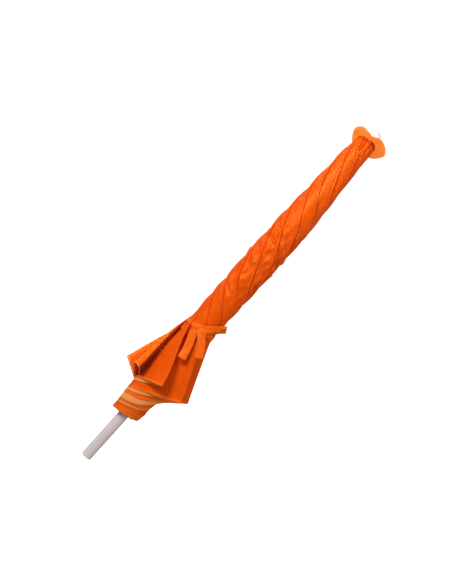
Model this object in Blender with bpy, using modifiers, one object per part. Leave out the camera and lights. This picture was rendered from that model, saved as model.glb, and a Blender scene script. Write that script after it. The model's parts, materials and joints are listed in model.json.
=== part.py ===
"""Closed sun parasol, upper section: a tube pole carrying eight folding ribs and a wrapped canopy.

Metres, +Z up. The origin is the middle of the pole's foot and the pole stands along +Z.
Everything is modelled closed. Each rib hinges on a wire in the crown hub, each stretcher hinges
on a rivet halfway down its rib, and the runner slides up the pole to open them.
"""

import math

import bmesh
import bpy
from mathutils import Matrix, Vector

MM = 0.001

# Driving dimensions, in millimetres.
RIBS = 8
SECTOR = 360 / RIBS
GAP = 0.3
POLE_RADIUS = 12.5
POLE_BORE = 11.0
POLE_TOP = 943.0
PLUG_FLANGE = 2.5

CROWN_RADIUS = 16.8
CROWN_HEIGHT = 915.0
RIB_LENGTH = 780.0
RIB_LEAN = 0.55
RIB_WIDTH = 3.0
RIB_HALF_DEPTH = 1.6
EYE_RADIUS = 2.5
WIRE_RADIUS = 0.9

JOINT_DOWN = 345.0
JOINT_INSET = 3.4
STRETCHER_LENGTH = 355.0
STRETCHER_FOOT_RADIUS = 17.6
RIVET_RADIUS = 1.1
OPEN_ANGLE = 70.0

RUNNER_BORE = 12.9
RUNNER_SLEEVE = 15.0
RUNNER_FLANGE = 20.2
RUNNER_BELOW = 34.0
RUNNER_ABOVE = 12.0
SLOT_WIDTH = 3.7
CATCH_BELOW = 18.0

ROSETTE_RADIUS = 44.0
ROSETTE_HEIGHT = 929.0
FINIAL_RADIUS = 16.0
TIP_RADIUS = 3.3

PANEL_FROM = 10.0
PANEL_TO = 758.0
WAIST_HEIGHT = 378.0
WRAP_TOP = 926.0
FOLDS_HEM = 226.0
HEM_TOP = 198.0
HEM_FOOT = 124.0

BRIGHT_ORANGE = (0.86, 0.15, 0.01)
WHITE = (0.80, 0.78, 0.77)
STEEL = (0.62, 0.62, 0.64)


def rib_radius(down):
    """Distance of the closed rib's middle line from the pole's axis."""
    return CROWN_RADIUS + down * math.tan(math.radians(RIB_LEAN))


def stack_inner(down):
    """Inner radius of the folded canopy cloth, just outside the ribs."""
    return rib_radius(down) + RIB_HALF_DEPTH + 0.4


def stack_outer(down):
    """Outer radius of the folded canopy cloth, which thickens towards the hem."""
    return stack_inner(down) + 0.9 + 3.0 * down / RIB_LENGTH


def down_of(height):
    return CROWN_HEIGHT - height


def rib_pose(angle, down, inset):
    """Radius and height of a point on a rib that stands at angle from straight down."""
    a = math.radians(angle)
    radius = CROWN_RADIUS + down * math.sin(a) - inset * math.cos(a)
    height = CROWN_HEIGHT - down * math.cos(a) - inset * math.sin(a)
    return radius, height


JOINT_RADIUS, JOINT_HEIGHT = rib_pose(RIB_LEAN, JOINT_DOWN, JOINT_INSET)
RUNNER_HEIGHT = JOINT_HEIGHT - math.sqrt(
    STRETCHER_LENGTH**2 - (STRETCHER_FOOT_RADIUS - JOINT_RADIUS) ** 2
)
OPEN_JOINT_RADIUS, OPEN_JOINT_HEIGHT = rib_pose(OPEN_ANGLE, JOINT_DOWN, JOINT_INSET)
OPEN_RUNNER_HEIGHT = OPEN_JOINT_HEIGHT - math.sqrt(
    STRETCHER_LENGTH**2 - (OPEN_JOINT_RADIUS - STRETCHER_FOOT_RADIUS) ** 2
)
RUNNER_TRAVEL = OPEN_RUNNER_HEIGHT - RUNNER_HEIGHT


def clear_scene():
    for obj in list(bpy.data.objects):
        bpy.data.objects.remove(obj, do_unlink=True)


def collection(name):
    made = bpy.data.collections.new(name)
    bpy.context.scene.collection.children.link(made)
    return made


def material(name, colour, roughness, metallic=0.0):
    made = bpy.data.materials.new(name)
    made.use_nodes = True
    shader = made.node_tree.nodes["Principled BSDF"]
    shader.inputs["Base Color"].default_value = (*colour, 1)
    shader.inputs["Roughness"].default_value = roughness
    shader.inputs["Metallic"].default_value = metallic
    made.diffuse_color = (*colour, 1)
    return made


def add(mesh, name, home, finish=None):
    """A mesh object in the collection home, shaded smooth with sharp edges kept."""
    obj = bpy.data.objects.new(name, mesh)
    home.objects.link(obj)
    if finish:
        mesh.materials.append(finish)
    mesh.shade_smooth()
    mesh.set_sharp_from_angle(angle=math.radians(35))
    return obj


def as_cutter(obj):
    obj.hide_render = True
    obj.display_type = "WIRE"
    return obj


def cut(obj, cutter, operation="DIFFERENCE"):
    modifier = obj.modifiers.new(operation.title(), "BOOLEAN")
    modifier.operation = operation
    modifier.solver = "EXACT"
    modifier.object = cutter
    return obj


def turned(name, profile, home, finish=None, steps=32):
    """A shape turned about Z. The profile is (radius, height) in mm, down the outside first."""
    mesh = bpy.data.meshes.new(name)
    points = [(r * MM, 0, z * MM) for r, z in profile]
    count = len(points)
    closed = profile[0][0] > 0 or profile[-1][0] > 0
    edges = [(i, i + 1) for i in range(count - 1)]
    mesh.from_pydata(points, edges + [(count - 1, 0)] if closed else edges, [])
    obj = bpy.data.objects.new(name, mesh)
    home.objects.link(obj)
    if finish:
        mesh.materials.append(finish)
    screw = obj.modifiers.new("Screw", "SCREW")
    screw.steps = steps
    screw.render_steps = steps
    screw.use_merge_vertices = True
    screw.merge_threshold = 0.00001
    screw.use_smooth_shade = True
    return obj


def arc(centre_x, centre_y, radius, start, end, steps):
    """Points along an arc, angles in degrees."""
    for i in range(steps + 1):
        a = math.radians(start + (end - start) * i / steps)
        yield centre_x + radius * math.cos(a), centre_y + radius * math.sin(a)


def plate(name, outlines, width, home, finish=None):
    """A flat outline with holes, in mm, extruded to width and made a mesh. It lies in XZ."""
    curve = bpy.data.curves.new(name, "CURVE")
    curve.dimensions = "2D"
    curve.fill_mode = "BOTH"
    curve.extrude = width / 2 * MM
    for outline in outlines:
        spline = curve.splines.new("POLY")
        outline = list(outline)
        spline.points.add(len(outline) - 1)
        for point, (x, y) in zip(spline.points, outline):
            point.co = (x * MM, y * MM, 0, 1)
        spline.use_cyclic_u = True
    guide = bpy.data.objects.new(name + "_outline", curve)
    home.objects.link(guide)
    bpy.context.view_layer.update()
    graph = bpy.context.evaluated_depsgraph_get()
    mesh = bpy.data.meshes.new_from_object(guide.evaluated_get(graph))
    bpy.data.objects.remove(guide)
    mesh.name = name
    work = bmesh.new()
    work.from_mesh(mesh)
    bmesh.ops.remove_doubles(work, verts=work.verts, dist=0.00001)
    for vert in work.verts:
        vert.co = Vector((vert.co.x, -vert.co.z, vert.co.y))
    bmesh.ops.recalc_face_normals(work, faces=work.faces)
    work.to_mesh(mesh)
    work.free()
    return add(mesh, name, home, finish)


def box(name, low, high, home):
    """A block between two corners, in mm."""
    work = bmesh.new()
    bmesh.ops.create_cube(work, size=1)
    for vert in work.verts:
        vert.co = Vector(
            (low[k] + (vert.co[k] + 0.5) * (high[k] - low[k])) * MM for k in range(3)
        )
    mesh = bpy.data.meshes.new(name)
    work.to_mesh(mesh)
    work.free()
    obj = bpy.data.objects.new(name, mesh)
    home.objects.link(obj)
    return obj


def rod(name, radius, half_length, home, finish=None, sides=12, along="Y"):
    """A short round rod through the origin, in mm, along X or Y."""
    work = bmesh.new()
    bmesh.ops.create_cone(
        work,
        cap_ends=True,
        segments=sides,
        radius1=radius * MM,
        radius2=radius * MM,
        depth=2 * half_length * MM,
    )
    for vert in work.verts:
        x, y, z = vert.co
        vert.co = (x, -z, y) if along == "Y" else (z, y, -x)
    mesh = bpy.data.meshes.new(name)
    work.to_mesh(mesh)
    work.free()
    return add(mesh, name, home, finish)


def ring(name, major, minor, height, home, finish=None, sides=8):
    bpy.ops.mesh.primitive_torus_add(
        major_segments=40,
        minor_segments=sides,
        major_radius=major * MM,
        minor_radius=minor * MM,
        location=(0, 0, height * MM),
    )
    obj = bpy.context.object
    obj.name = name
    for owner in list(obj.users_collection):
        owner.objects.unlink(obj)
    home.objects.link(obj)
    if finish:
        obj.data.materials.append(finish)
    obj.data.shade_smooth()
    return obj


def loft(name, sections, home, finish=None, cyclic=False):
    """A solid skin over rings of points in mm. A cyclic loft joins its last ring to its first."""
    work = bmesh.new()
    rings = [[work.verts.new([c * MM for c in p]) for p in s] for s in sections]
    pairs = list(zip(rings, rings[1:])) + ([(rings[-1], rings[0])] if cyclic else [])
    for lower, upper in pairs:
        count = len(lower)
        for i in range(count):
            j = (i + 1) % count
            work.faces.new((lower[i], lower[j], upper[j], upper[i]))
    if not cyclic:
        work.faces.new(rings[0])
        work.faces.new(rings[-1])
    bmesh.ops.triangulate(work, faces=work.faces)
    bmesh.ops.recalc_face_normals(work, faces=work.faces)
    mesh = bpy.data.meshes.new(name)
    work.to_mesh(mesh)
    work.free()
    return add(mesh, name, home, finish)


def pivot(name, radius, height, lean, azimuth, home):
    """An empty on a hinge's axis. Its X points outwards and its -Z leans out by lean."""
    empty = bpy.data.objects.new(name, None)
    empty.empty_display_size = 0.01
    empty.rotation_euler = (0, -math.radians(lean), math.radians(azimuth))
    a = math.radians(azimuth)
    empty.location = (
        radius * math.cos(a) * MM,
        radius * math.sin(a) * MM,
        height * MM,
    )
    home.objects.link(empty)
    return empty


def make_pole(home, cutters, white):
    pole = turned(
        "pole",
        [
            (POLE_RADIUS, POLE_TOP),
            (POLE_RADIUS, PLUG_FLANGE + GAP),
            (POLE_BORE, PLUG_FLANGE + GAP),
            (POLE_BORE, POLE_TOP),
        ],
        home,
        white,
    )
    hole = as_cutter(rod("catch_hole", 2.2, 6, cutters, along="X"))
    a = math.radians(SECTOR / 2)
    hole.location = (
        POLE_RADIUS * math.cos(a) * MM,
        POLE_RADIUS * math.sin(a) * MM,
        (OPEN_RUNNER_HEIGHT - CATCH_BELOW) * MM,
    )
    hole.rotation_euler.z = a
    cut(pole, hole)
    turned(
        "pole_plug",
        [
            (0, 16),
            (POLE_BORE - GAP - 1.5, 16),
            (POLE_BORE - GAP, 14),
            (POLE_BORE - GAP, PLUG_FLANGE),
            (POLE_RADIUS, PLUG_FLANGE),
            (POLE_RADIUS, 0.8),
            (POLE_RADIUS - 0.8, 0),
            (0, 0),
        ],
        home,
        white,
    )


def make_finial(home, white):
    """A domed cap that presses on to the pole's top and clamps the rosette."""
    foot = ROSETTE_HEIGHT + 2.1
    dome = [
        (FINIAL_RADIUS * math.sin(a), 951.5 + 15.5 * math.cos(a))
        for a in (math.radians(90 * i / 6) for i in range(7))
    ]
    turned(
        "finial",
        dome
        + [
            (FINIAL_RADIUS, 946),
            (14.6, 942),
            (14.6, foot + 3),
            (19, foot + 2),
            (19, foot),
            (POLE_RADIUS + GAP, foot),
            (POLE_RADIUS + GAP, POLE_TOP + GAP),
            (0, POLE_TOP + GAP),
        ],
        home,
        white,
    )


def make_rosette(home, cloth):
    turned(
        "rosette",
        [
            (POLE_RADIUS + GAP, ROSETTE_HEIGHT + 1.5),
            (20, ROSETTE_HEIGHT + 1.5),
            (ROSETTE_RADIUS, ROSETTE_HEIGHT + 9.5),
            (ROSETTE_RADIUS, ROSETTE_HEIGHT + 8),
            (20, ROSETTE_HEIGHT),
            (POLE_RADIUS + GAP, ROSETTE_HEIGHT),
        ],
        home,
        cloth,
    )


def radial_slots(inner, outer, low, high, width, home, label):
    """Eight cutters that open a slot for each rib or stretcher."""
    for i in range(RIBS):
        slot = as_cutter(
            box(
                f"{label}_{i + 1}",
                (inner, -width / 2, low),
                (outer, width / 2, high),
                home,
            )
        )
        slot.rotation_euler.z = math.radians(i * SECTOR)
        yield slot


def make_crown(home, cutters, white, steel):
    """The hub that the ribs' eyes sit in, and the wire that they turn on."""
    low, high = CROWN_HEIGHT - 9, ROSETTE_HEIGHT - 0.9
    hub = turned(
        "crown_hub",
        [
            (20.6, high),
            (20.6, CROWN_HEIGHT - 3),
            (18.5, low),
            (POLE_RADIUS + GAP, low),
            (POLE_RADIUS + GAP, high),
        ],
        home,
        white,
    )
    for slot in radial_slots(
        14.0, 26, low - 3, CROWN_HEIGHT + 4, SLOT_WIDTH, cutters, "hub_slot"
    ):
        cut(hub, slot)
    groove = as_cutter(
        ring("wire_groove", CROWN_RADIUS, WIRE_RADIUS + 0.4, CROWN_HEIGHT, cutters, sides=6)
    )
    cut(hub, groove)
    ring("crown_wire", CROWN_RADIUS, WIRE_RADIUS, CROWN_HEIGHT, home, steel, sides=6)


def make_runner(home, cutters, white):
    """The sleeve that slides on the pole, with a slot for each stretcher's foot."""
    z = RUNNER_HEIGHT
    runner = turned(
        "runner",
        [
            (RUNNER_SLEEVE, z + RUNNER_ABOVE),
            (RUNNER_SLEEVE, z + 4.5),
            (RUNNER_FLANGE, z + 3.5),
            (RUNNER_FLANGE, z - 3.5),
            (RUNNER_SLEEVE, z - 5),
            (RUNNER_SLEEVE, z - RUNNER_BELOW + 1),
            (RUNNER_SLEEVE - 1, z - RUNNER_BELOW),
            (RUNNER_BORE, z - RUNNER_BELOW),
            (RUNNER_BORE, z + RUNNER_ABOVE),
        ],
        home,
        white,
    )
    for slot in radial_slots(
        RUNNER_SLEEVE + 0.2, 26, z - 8, z + 8, SLOT_WIDTH, cutters, "runner_slot"
    ):
        cut(runner, slot)
    azimuth = math.radians(SECTOR / 2)
    bore = as_cutter(rod("catch_bore", 2.0, 5, cutters, along="X"))
    place = Vector((math.cos(azimuth), math.sin(azimuth), 0)) * 16 * MM
    place.z = (z - CATCH_BELOW) * MM
    bore.location = place
    bore.rotation_euler.z = azimuth
    cut(runner, bore)


def make_catch(home, steel):
    """The sprung plunger that drops into the pole's hole when the runner is up."""
    button = turned(
        "catch_button",
        [
            (0, 20.5),
            (2.4, 20.5),
            (3.0, 19.8),
            (3.0, 16.8),
            (1.7, 16.8),
            (1.7, 13.4),
            (1.1, POLE_RADIUS + GAP),
            (0, POLE_RADIUS + GAP),
        ],
        home,
        steel,
        steps=16,
    )
    azimuth = math.radians(SECTOR / 2)
    button.location.z = (RUNNER_HEIGHT - CATCH_BELOW) * MM
    button.rotation_euler = (0, math.radians(90), azimuth)


def rib_outline():
    """The rib's side view, with its eye at the origin and a lug for the stretcher."""
    half = RIB_HALF_DEPTH
    neck = math.degrees(math.asin(half / EYE_RADIUS))
    yield from arc(0, 0, EYE_RADIUS, -90 + neck, 270 - neck, 14)
    yield -half, -JOINT_DOWN + 4.5
    yield from arc(-JOINT_INSET, -JOINT_DOWN, 2.2, 100, 260, 8)
    yield -half, -JOINT_DOWN - 4.5
    yield -half, -RIB_LENGTH + 14
    yield -half + 0.5, -RIB_LENGTH + 13
    yield -half + 0.5, -RIB_LENGTH
    yield half - 0.5, -RIB_LENGTH
    yield half - 0.5, -RIB_LENGTH + 13
    yield half, -RIB_LENGTH + 14


def make_ribs(home, cutters, steel, white):
    holes = (
        arc(0, 0, WIRE_RADIUS + 0.35, 0, 330, 11),
        arc(-JOINT_INSET, -JOINT_DOWN, RIVET_RADIUS + 0.25, 0, 330, 11),
    )
    pattern = plate("rib_1", (rib_outline(), *holes), RIB_WIDTH, home, steel)
    cap = turned(
        "rib_tip_1",
        [
            (TIP_RADIUS - 0.6, -RIB_LENGTH + 12),
            (TIP_RADIUS, -RIB_LENGTH + 11),
            (TIP_RADIUS, -RIB_LENGTH - 2),
            (TIP_RADIUS * 0.7, -RIB_LENGTH - 4.4),
            (0, -RIB_LENGTH - 5.4),
            (0, -RIB_LENGTH + 12),
        ],
        home,
        white,
        steps=12,
    )
    socket = as_cutter(
        box(
            "tip_socket",
            (-1.4, -1.8, -RIB_LENGTH - 0.4),
            (1.4, 1.8, -RIB_LENGTH + 20),
            cutters,
        )
    )
    cut(cap, socket)
    bpy.context.view_layer.update()
    graph = bpy.context.evaluated_depsgraph_get()
    cap_mesh = bpy.data.meshes.new_from_object(cap.evaluated_get(graph))
    cap.modifiers.clear()
    cap.data = cap_mesh
    for i in range(RIBS):
        number = i + 1
        hinge = pivot(
            f"rib_{number}_hinge",
            CROWN_RADIUS,
            CROWN_HEIGHT,
            RIB_LEAN,
            i * SECTOR,
            home,
        )
        for first, label in ((pattern, "rib"), (cap, "rib_tip")):
            piece = first
            if i:
                piece = bpy.data.objects.new(f"{label}_{number}", first.data)
                home.objects.link(piece)
            piece.parent = hinge


def stretcher_outline(length):
    yield from arc(0, 0, 2.3, 0, 180, 8)
    yield -2.3, -9
    yield -1.5, -11
    yield -1.5, -length + 1.6
    yield from arc(0, -length, 2.1, 150, 390, 10)
    yield 1.5, -length + 1.6
    yield 1.5, -11
    yield 2.3, -9


def make_stretchers(home, cutters, steel):
    """Each stretcher forks round its rib's lug and ends in an eye at the runner."""
    length = STRETCHER_LENGTH
    bar = plate("stretcher_1", (stretcher_outline(length),), 6.6, home, steel)
    cheek_gap = as_cutter(
        box("fork_slot", (-4, -SLOT_WIDTH / 2, -12), (4, SLOT_WIDTH / 2, 4), cutters)
    )
    cut(bar, cheek_gap)
    for side in (-1, 1):
        near, far = sorted((side * RIB_WIDTH / 2, side * 6))
        shave = as_cutter(
            box(
                f"stretcher_side_{side + 2}",
                (-4, near, -length - 5),
                (4, far, -16),
                cutters,
            )
        )
        cut(bar, shave)
    for label, down, radius in (
        ("fork_hole", 0, RIVET_RADIUS + 0.25),
        ("foot_hole", length, 1.0),
    ):
        drill = as_cutter(rod(label, radius, 8, cutters))
        drill.location.z = -down * MM
        cut(bar, drill)
    bpy.context.view_layer.update()
    graph = bpy.context.evaluated_depsgraph_get()
    bar_mesh = bpy.data.meshes.new_from_object(bar.evaluated_get(graph))
    bar.modifiers.clear()
    bar.data = bar_mesh
    shank = rod("joint_rivet_1", RIVET_RADIUS, 4.1, home, steel, sides=12)
    lean = math.degrees(math.asin((STRETCHER_FOOT_RADIUS - JOINT_RADIUS) / length))
    for i in range(RIBS):
        number = i + 1
        hinge = pivot(
            f"stretcher_{number}_hinge",
            JOINT_RADIUS,
            JOINT_HEIGHT,
            lean,
            i * SECTOR,
            home,
        )
        for first, label in ((bar, "stretcher"), (shank, "joint_rivet")):
            piece = first
            if i:
                piece = bpy.data.objects.new(f"{label}_{number}", first.data)
                home.objects.link(piece)
            piece.parent = hinge


def stack_section(down, start, end):
    """The folded cloth's cross-section, a slice of a ring between two azimuths."""
    inner, outer = stack_inner(down), stack_outer(down)
    height = CROWN_HEIGHT - down
    steps = 3
    azimuths = [math.radians(start + (end - start) * k / steps) for k in range(steps + 1)]
    there = [(inner * math.cos(a), inner * math.sin(a), height) for a in azimuths]
    back = [(outer * math.cos(a), outer * math.sin(a), height) for a in azimuths[::-1]]
    return there + back


def make_panels(home, cloth):
    """Each sewn panel lies folded in two stacks, one by each of the ribs that it spans."""
    margin = 1.0
    for i in range(RIBS):
        start = i * SECTOR
        middle = start + SECTOR / 2
        for label, near, far in (
            ("near", start + margin, middle - margin),
            ("far", middle + margin, start + SECTOR - margin),
        ):
            loft(
                f"panel_{i + 1}_{label}",
                [stack_section(down, near, far) for down in (PANEL_FROM, PANEL_TO)],
                home,
                cloth,
            )


def make_outer_wrap(home, cloth):
    """The canopy's outer turns, wound round the folded frame from the crown to the tie."""
    foot = WAIST_HEIGHT + 16
    outer = [
        (24.6, WRAP_TOP),
        (25.6, 900),
        (28.8, 847),
        (32.6, 759),
        (36.0, 692),
        (36.5, 604),
        (36.4, 538),
        (34.8, 471),
        (33.8, foot),
    ]
    inner = [(stack_outer(down_of(z)) + 0.5, z) for z in (foot, 604, 895)]
    turned("outer_wrap", outer + inner + [(21.6, WRAP_TOP)], home, cloth, steps=24)


def star(radius_out, radius_in, height, turn):
    """A ring of points that rises to eight folds and falls between them."""
    per_fold = 4
    for k in range(RIBS * per_fold):
        share = (1 + math.cos(2 * math.pi * k / per_fold)) / 2
        radius = radius_in + (radius_out - radius_in) * share
        a = math.radians(turn + 360 * k / (RIBS * per_fold))
        yield radius * math.cos(a), radius * math.sin(a), height


def make_flared_folds(home, cloth):
    """Eight folds of canopy that stand out below the tie, hollow up to the waist."""
    top = WAIST_HEIGHT - 14
    rings = [
        (34.0, 33.6, top, 0),
        (48, 38, 330, 4),
        (68, 43, 278, 8),
        (88, 48, FOLDS_HEM, 12),
        (84, 45, FOLDS_HEM - 2, 12),
        (60, 40, HEM_TOP + 14, 12),
        (43, 40, HEM_TOP + GAP, 12),
        (33.5, 33.5, HEM_TOP + GAP, 12),
        (31.5, 31.5, top, 0),
    ]
    sections = [list(star(*ring)) for ring in rings]
    loft("flared_folds", sections, home, cloth, cyclic=True)


def make_gathered_hem(home, cloth):
    """The lowest turns of the hem, which gather in to the rib tips."""
    turned(
        "gathered_hem",
        [
            (39.5, HEM_TOP - GAP),
            (38.0, 178),
            (35.5, 150),
            (33.0, HEM_FOOT + 6),
            (31.5, HEM_FOOT),
            (28.6, HEM_FOOT),
            (31.5, 150),
            (33.0, HEM_TOP - GAP),
        ],
        home,
        cloth,
        steps=24,
    )


def ribbon(name, start, end, width, thick, home):
    """A straight strip of webbing between two points in mm, its face turned to -Y."""
    along = (end - start).normalized()
    face = Vector((0, -1, 0))
    face = (face - along * face.dot(along)).normalized()
    across = along.cross(face)
    length = (end - start).length
    strip = box(name, (0, -thick / 2, -width / 2), (length, thick / 2, width / 2), home)
    strip.matrix_world = Matrix.Translation(start * MM) @ Matrix(
        (along, face, across)
    ).transposed().to_4x4()
    return strip


def make_tie(home, cutters, cloth):
    """A cloth strap knotted round the waist, with its loose ends hanging from the knot."""
    low, high = WAIST_HEIGHT - 13, WAIST_HEIGHT + 15
    strap = turned(
        "tie_strap",
        [(36.6, high), (36.6, low), (35.0, low), (35.0, high)],
        home,
        cloth,
        steps=24,
    )
    knot = Vector((-8.0, -38.5, WAIST_HEIGHT + 1))
    lump = box("knot_lump", knot - Vector((8, 4.5, 6)), knot + Vector((8, 4.5, 6)), cutters)
    cut(strap, as_cutter(lump), "UNION")
    start = knot + Vector((0, -2.5, 0))
    for label, end, width in (
        ("end_up", (45, -30, 414), 15),
        ("end_side", (40, -41, 325), 18),
        ("end_down", (12, -63, 300), 17),
    ):
        strip = ribbon(label, start, Vector(end), width, 2.2, cutters)
        cut(strap, as_cutter(strip), "UNION")


def main():
    clear_scene()
    home = collection("parasol")
    cutters = collection("cutters")
    cutters.hide_render = True
    white = material("white_plastic", WHITE, 0.45)
    paint = material("pole_paint", WHITE, 0.35)
    steel = material("rib_steel", STEEL, 0.35, 1.0)
    cloth = material("canopy_cloth", BRIGHT_ORANGE, 0.7)
    make_pole(home, cutters, paint)
    make_finial(home, white)
    make_rosette(home, cloth)
    make_crown(home, cutters, white, steel)
    make_runner(home, cutters, white)
    make_catch(home, steel)
    make_ribs(home, cutters, steel, white)
    make_stretchers(home, cutters, steel)
    make_panels(home, cloth)
    make_outer_wrap(home, cloth)
    make_flared_folds(home, cloth)
    make_gathered_hem(home, cloth)
    make_tie(home, cutters, cloth)


main()
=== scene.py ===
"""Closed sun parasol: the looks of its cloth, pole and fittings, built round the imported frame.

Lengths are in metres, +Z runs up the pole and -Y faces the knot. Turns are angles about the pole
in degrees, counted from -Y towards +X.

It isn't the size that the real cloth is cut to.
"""

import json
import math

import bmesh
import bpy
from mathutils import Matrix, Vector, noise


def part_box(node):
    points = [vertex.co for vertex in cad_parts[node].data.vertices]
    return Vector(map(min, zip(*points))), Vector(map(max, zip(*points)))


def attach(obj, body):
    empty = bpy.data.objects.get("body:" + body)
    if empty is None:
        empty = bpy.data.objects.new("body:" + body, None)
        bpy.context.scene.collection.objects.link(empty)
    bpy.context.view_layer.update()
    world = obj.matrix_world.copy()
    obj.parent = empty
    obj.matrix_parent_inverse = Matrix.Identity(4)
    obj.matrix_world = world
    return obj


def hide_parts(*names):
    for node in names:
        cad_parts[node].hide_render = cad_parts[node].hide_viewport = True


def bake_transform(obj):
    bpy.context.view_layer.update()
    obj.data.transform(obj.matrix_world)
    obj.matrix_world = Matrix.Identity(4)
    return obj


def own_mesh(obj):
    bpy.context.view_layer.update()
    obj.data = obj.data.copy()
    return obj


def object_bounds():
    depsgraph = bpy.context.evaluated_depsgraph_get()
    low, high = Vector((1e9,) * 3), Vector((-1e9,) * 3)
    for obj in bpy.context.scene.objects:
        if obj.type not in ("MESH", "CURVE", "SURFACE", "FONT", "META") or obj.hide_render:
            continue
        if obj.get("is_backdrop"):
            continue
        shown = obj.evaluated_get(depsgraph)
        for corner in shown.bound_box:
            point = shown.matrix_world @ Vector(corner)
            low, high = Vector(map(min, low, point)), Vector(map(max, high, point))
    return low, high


bl_info = {
    "name": "Closed Sun Parasol",
    "version": (1, 0, 0),
    "blender": (4, 5, 0),
    "location": "View3D > Sidebar > Parasol",
    "description": "Builds a wrapped and tied orange parasol round its folding frame",
    "category": "Object",
}

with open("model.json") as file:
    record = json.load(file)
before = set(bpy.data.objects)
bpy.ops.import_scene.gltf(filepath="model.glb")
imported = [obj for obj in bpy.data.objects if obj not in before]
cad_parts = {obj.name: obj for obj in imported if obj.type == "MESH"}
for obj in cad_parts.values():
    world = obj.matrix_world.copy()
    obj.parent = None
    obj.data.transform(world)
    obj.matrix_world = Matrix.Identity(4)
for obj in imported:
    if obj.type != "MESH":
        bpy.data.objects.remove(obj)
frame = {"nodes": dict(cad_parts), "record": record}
CAD_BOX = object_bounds()

MM = 0.001

JOINTS = {joint["name"]: joint for joint in frame["record"]["behaviour"]["joints"]}
RIB_COUNT = sum(name.startswith("rib_") for name in JOINTS)
SECTOR = 360 / RIB_COUNT
CROWN = Vector(JOINTS["rib_1_hinge"]["pos_m"])
RIB_LENGTH = CROWN.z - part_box("rib_1")[0][2]
WRAP_FOOT, WRAP_HEAD = (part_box("outer_wrap")[k][2] for k in (0, 1))
TIE_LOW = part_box("flared_folds")[1][2]
WAIST = (TIE_LOW + WRAP_FOOT) / 2
HEM_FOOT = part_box("gathered_hem")[0][2]
HEM_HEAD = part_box("gathered_hem")[1][2]
POLE_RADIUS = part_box("pole")[1][0]
PLUG_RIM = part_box("pole")[0][2]
POLE_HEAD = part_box("pole")[1][2]
TOP = CAD_BOX[1][2]
HUB_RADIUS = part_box("crown_hub")[1][0]
# How far the folding panels lie outside the ribs, the gap round a fitted piece, and the radius and
# distance below which points count as being on the axis or on one another.
CLOTH_OFFSET = 2.2 * MM
GAP = 0.3 * MM
AXIS = 0.0001
WELD = 1e-6

# Wound cloth: height and radius of its surface from the crown to the tie, how far its middle
# leans to the left of the pole, and how far its neck stands forward.
WRAP_PROFILE = (
    (0.935, 0.0206), (0.926, 0.0226), (0.915, 0.0234), (0.880, 0.0250),
    (0.847, 0.0266), (0.800, 0.0292), (0.759, 0.0314), (0.700, 0.0345),
    (0.650, 0.0350), (0.600, 0.0350), (0.540, 0.0348), (0.471, 0.0336),
    (0.410, 0.0326), (0.385, 0.0322), (0.370, 0.0326), (0.350, 0.0334),
)
WRAP_LEAN = (
    (0.933, -0.0022), (0.880, -0.0034), (0.820, -0.0022),
    (0.740, -0.0006), (0.660, 0.0), (0.350, 0.0),
)
NECK_SWELL = ((0.933, -0.0026), (0.905, -0.0024), (0.870, -0.0010), (0.830, 0.0), (0.350, 0.0))
# How far the flaps have wound back round the pole at each height, in degrees from the waist.
WINDING = (
    (0.945, 411), (0.925, 395), (0.866, 350), (0.790, 305), (0.732, 260), (0.666, 215),
    (0.596, 170), (0.519, 125), (0.470, 80), (0.424, 35), (0.378, 0), (0.350, -22),
)
# Turn of the first flap's edge at the waist, how far the flaps bunch together and at which turn,
# and how far each flap's free edge stands out.
FIRST_FOLD_TURN = -35.0
BUNCHING = 11.5
BUNCHED_AT = -25.0
WRAP_STEP = 2.9 * MM

# Each fold below the tie: turn, radius and height of its corner; heights of its hem where it meets
# the body, half a turn behind the corner and three quarters of a turn behind; how far its lining
# shows below it; how far its layers stand apart at the hem; and how its edge curves out.
FOLDS = (
    (13, 0.0800, 0.2414, 0.2050, 0.1700, 0.1560, 0.0090, 0.0050, 1.00),
    (60, 0.0860, 0.2338, 0.1900, 0.1690, 0.1560, 0.0090, 0.0050, 0.95),
    (97, 0.0920, 0.2345, 0.1815, 0.1635, 0.1480, 0.0165, 0.0050, 1.20),
    (148, 0.0840, 0.2290, 0.1720, 0.1535, 0.1360, 0.0050, 0.0060, 1.10),
    (193, 0.0810, 0.2310, 0.1520, 0.1445, 0.1258, 0.0020, 0.0080, 1.10),
    (236, 0.0830, 0.2290, 0.1440, 0.1385, 0.1330, 0.0020, 0.0060, 1.15),
    (279, 0.0822, 0.2276, 0.1760, 0.1500, 0.1400, 0.0050, 0.0050, 1.25),
    (315, 0.0815, 0.2381, 0.1920, 0.1650, 0.1500, 0.0010, 0.0130, 1.15),
)
# Degrees that a fold's root lies behind its edge and that its hem winds on; height of its head;
# radius of the body that it lies on; and how much further out each wound layer is.
FOLD_SPAN = 93.0
FOLD_TAIL = 172.0
FOLD_HEAD = 0.388
BODY_RADIUS = 36.6 * MM
LAYER = 1.1 * MM

# The rosette's ruffled rim: turn, radius and height.
RUFFLE = (
    (-15, 0.0440, 0.9368), (0, 0.0438, 0.9362), (20, 0.0445, 0.9425), (45, 0.0445, 0.9412),
    (70, 0.0448, 0.9385), (90, 0.0462, 0.9362), (112, 0.0445, 0.9305), (135, 0.0435, 0.9240),
    (160, 0.0440, 0.9225), (185, 0.0450, 0.9260), (205, 0.0440, 0.9222), (225, 0.0435, 0.9250),
    (250, 0.0432, 0.9340), (270, 0.0432, 0.9378), (295, 0.0440, 0.9400), (318, 0.0445, 0.9418),
)


# ---------------------------------------------------------------- shapes


def radians_of(turn):
    return math.radians(turn - 90)


def around(turn, radius, height):
    """The point at a turn about the pole, a radius and a height."""
    a = radians_of(turn)
    return Vector((radius * math.cos(a), radius * math.sin(a), height))


def mix(a, b, share):
    return a + (b - a) * share


def smooth(value):
    value = min(max(value, 0.0), 1.0)
    return value * value * (3 - 2 * value)


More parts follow.
